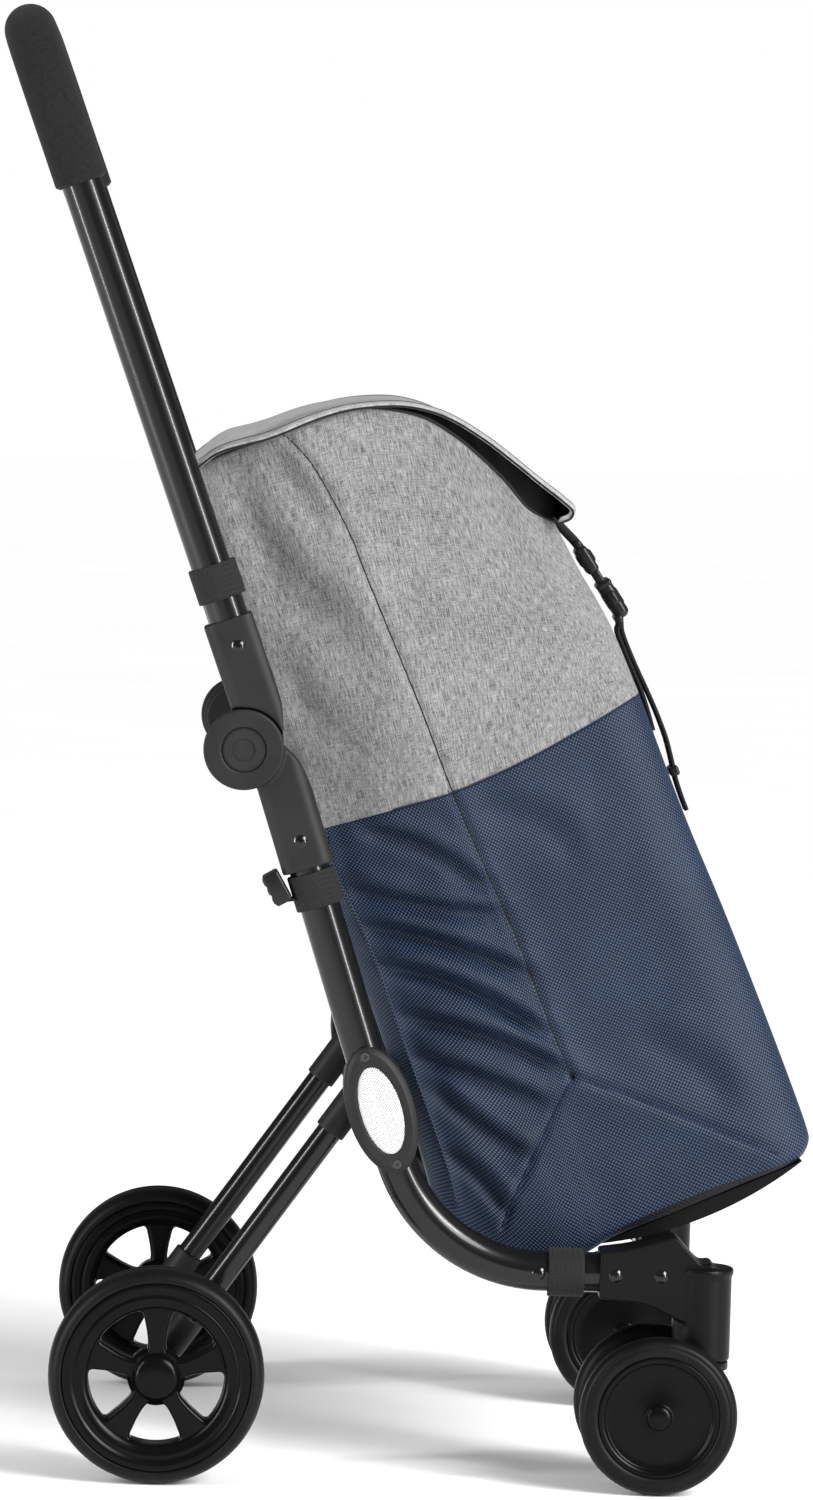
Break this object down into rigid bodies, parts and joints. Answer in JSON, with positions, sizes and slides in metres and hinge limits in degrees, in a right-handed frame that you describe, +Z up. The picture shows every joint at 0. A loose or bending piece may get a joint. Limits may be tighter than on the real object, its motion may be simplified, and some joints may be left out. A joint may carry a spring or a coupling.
{
  "type": "shopping trolley on wheels",
  "caption": "Folding shopping trolley with a tubular frame, hinged push handle with foam grip, soft two-tone bag with flap lid, rear wheels on folding legs and swivelling twin castors.",
  "frame": {"origin": "on the floor under the middle of the trolley's box", "axes": "+X forward, from the handle towards the castors; +Y to the trolley's left; +Z up"},
  "size_m": [0.5841, 0.461, 1.0212],
  "materials": {
    "tube_paint": "satin",
    "bracket_plastic": "fine matte grain",
    "bare_steel": "zinc plated",
    "button_plastic": "fine matte grain",
    "reflector": "prismatic, clear face",
    "screw_metal": "blackened",
    "castor_plastic": "fine matte grain",
    "rivet_metal": "gloss black",
    "tray_plastic": "matte",
    "bag_grey": "heathered plain weave",
    "lid_grey": "heathered plain weave",
    "bag_navy": "coarse oxford weave",
    "piping": "bound edge",
    "board": "hardboard",
    "webbing": "ribbed webbing",
    "buckle_plastic": "moulded satin",
    "foam": "matte closed-cell foam",
    "tyre": "satin rubber",
    "wheel_plastic": "satin moulded",
    "cap_plastic": "satin moulded",
    "castor_tyre": "satin rubber",
    "castor_wheel_plastic": "satin moulded"
  },
  "bodies": {
    "frame": {"frame_tube_right": "tube_paint", "frame_tube_left": "tube_paint", "lower_cross_tube": "tube_paint", "pivot_cross_tube": "tube_paint", "lower_bracket_right": "bracket_plastic", "lower_bracket_left": "bracket_plastic", "hinge_pins": "bare_steel", "reflector_housing_right": "bracket_plastic", "reflector_housing_left": "bracket_plastic", "reflector_right": "reflector", "reflector_left": "reflector", "housing_screws": "screw_metal", "castor_housing_right": "castor_plastic", "castor_housing_left": "castor_plastic", "frame_rivets": "rivet_metal", "base_tray": "tray_plastic", "tray_blocks": "bracket_plastic", "bag_upper": "bag_grey", "bag_lower": "bag_navy", "bag_board": "board", "lower_straps": "webbing", "lower_strap_buckle": "buckle_plastic", "base_straps": "webbing", "closure_webbing": "webbing", "closure_socket": "buckle_plastic"},
    "handle": {"handle_tube": "tube_paint", "foam_grip": "foam", "upper_bracket_right": "bracket_plastic", "upper_bracket_left": "bracket_plastic", "handle_rivets": "rivet_metal", "upper_straps": "webbing"},
    "button_right": {"hinge_button_right": "button_plastic"},
    "button_left": {"hinge_button_left": "button_plastic"},
    "legs": {"leg_right": "tube_paint", "leg_left": "tube_paint", "leg_collar_right": "bracket_plastic", "leg_collar_left": "bracket_plastic", "axle_bracket_right": "bracket_plastic", "axle_bracket_left": "bracket_plastic", "rear_axle": "bare_steel"},
    "rear_wheel_right": {"rear_tyre_right": "tyre", "rear_rim_right": "wheel_plastic", "rear_cap_right": "cap_plastic"},
    "rear_wheel_left": {"rear_tyre_left": "tyre", "rear_rim_left": "wheel_plastic", "rear_cap_left": "cap_plastic"},
    "castor_right": {"castor_fork_right": "castor_plastic", "castor_axle_right": "bare_steel"},
    "castor_left": {"castor_fork_left": "castor_plastic", "castor_axle_left": "bare_steel"},
    "lid": {"bag_lid": "lid_grey", "closure_clip": "buckle_plastic"},
    "castor_wheel_right_outer": {"castor_tyre_right_outer": "castor_tyre", "castor_disc_right_outer": "castor_wheel_plastic"},
    "castor_wheel_right_inner": {"castor_tyre_right_inner": "castor_tyre", "castor_disc_right_inner": "castor_wheel_plastic"},
    "castor_wheel_left_outer": {"castor_tyre_left_outer": "castor_tyre", "castor_disc_left_outer": "castor_wheel_plastic"},
    "castor_wheel_left_inner": {"castor_tyre_left_inner": "castor_tyre", "castor_disc_left_inner": "castor_wheel_plastic"}
  },
  "joints": [
    {"name": "handle_fold", "type": "hinge", "parent": "frame", "child": "handle", "pos_m": [-0.11297, 0, 0.51003], "axis": [0, -1, 0], "range_deg": [0, 140]},
    {"name": "button_right_push", "type": "slide", "parent": "frame", "child": "button_right", "axis": [0, 1, 0], "range_m": [0, 0.003], "stiffness_N_per_m": 800, "springref_m": -0.002},
    {"name": "button_left_push", "type": "slide", "parent": "frame", "child": "button_left", "axis": [0, -1, 0], "range_m": [0, 0.003], "stiffness_N_per_m": 800, "springref_m": -0.002},
    {"name": "leg_fold", "type": "hinge", "parent": "frame", "child": "legs", "pos_m": [-0.01723, 0, 0.28106], "axis": [0, -1, 0], "range_deg": [0, 45]},
    {"name": "lid_open", "type": "hinge", "parent": "frame", "child": "lid", "pos_m": [-0.146, 0, 0.704], "axis": [0, -1, 0], "range_deg": [0, 110]},
    {"name": "rear_wheel_right_spin", "type": "hinge", "parent": "legs", "child": "rear_wheel_right", "pos_m": [-0.162, -0.21, 0.075], "axis": [0, 1, 0], "continuous": true},
    {"name": "castor_right_swivel", "type": "hinge", "parent": "frame", "child": "castor_right", "pos_m": [0.2175, -0.185, 0.09], "axis": [0, 0, 1], "continuous": true},
    {"name": "castor_wheel_right_outer_spin", "type": "hinge", "parent": "castor_right", "child": "castor_wheel_right_outer", "pos_m": [0.187, -0.2175, 0.055], "axis": [0, 1, 0], "continuous": true},
    {"name": "castor_wheel_right_inner_spin", "type": "hinge", "parent": "castor_right", "child": "castor_wheel_right_inner", "pos_m": [0.187, -0.1525, 0.055], "axis": [0, 1, 0], "continuous": true},
    {"name": "rear_wheel_left_spin", "type": "hinge", "parent": "legs", "child": "rear_wheel_left", "pos_m": [-0.162, 0.21, 0.075], "axis": [0, 1, 0], "continuous": true},
    {"name": "castor_left_swivel", "type": "hinge", "parent": "frame", "child": "castor_left", "pos_m": [0.2175, 0.185, 0.09], "axis": [0, 0, 1], "continuous": true},
    {"name": "castor_wheel_left_outer_spin", "type": "hinge", "parent": "castor_left", "child": "castor_wheel_left_outer", "pos_m": [0.187, 0.2175, 0.055], "axis": [0, 1, 0], "continuous": true},
    {"name": "castor_wheel_left_inner_spin", "type": "hinge", "parent": "castor_left", "child": "castor_wheel_left_inner", "pos_m": [0.187, 0.1525, 0.055], "axis": [0, 1, 0], "continuous": true}
  ]
}
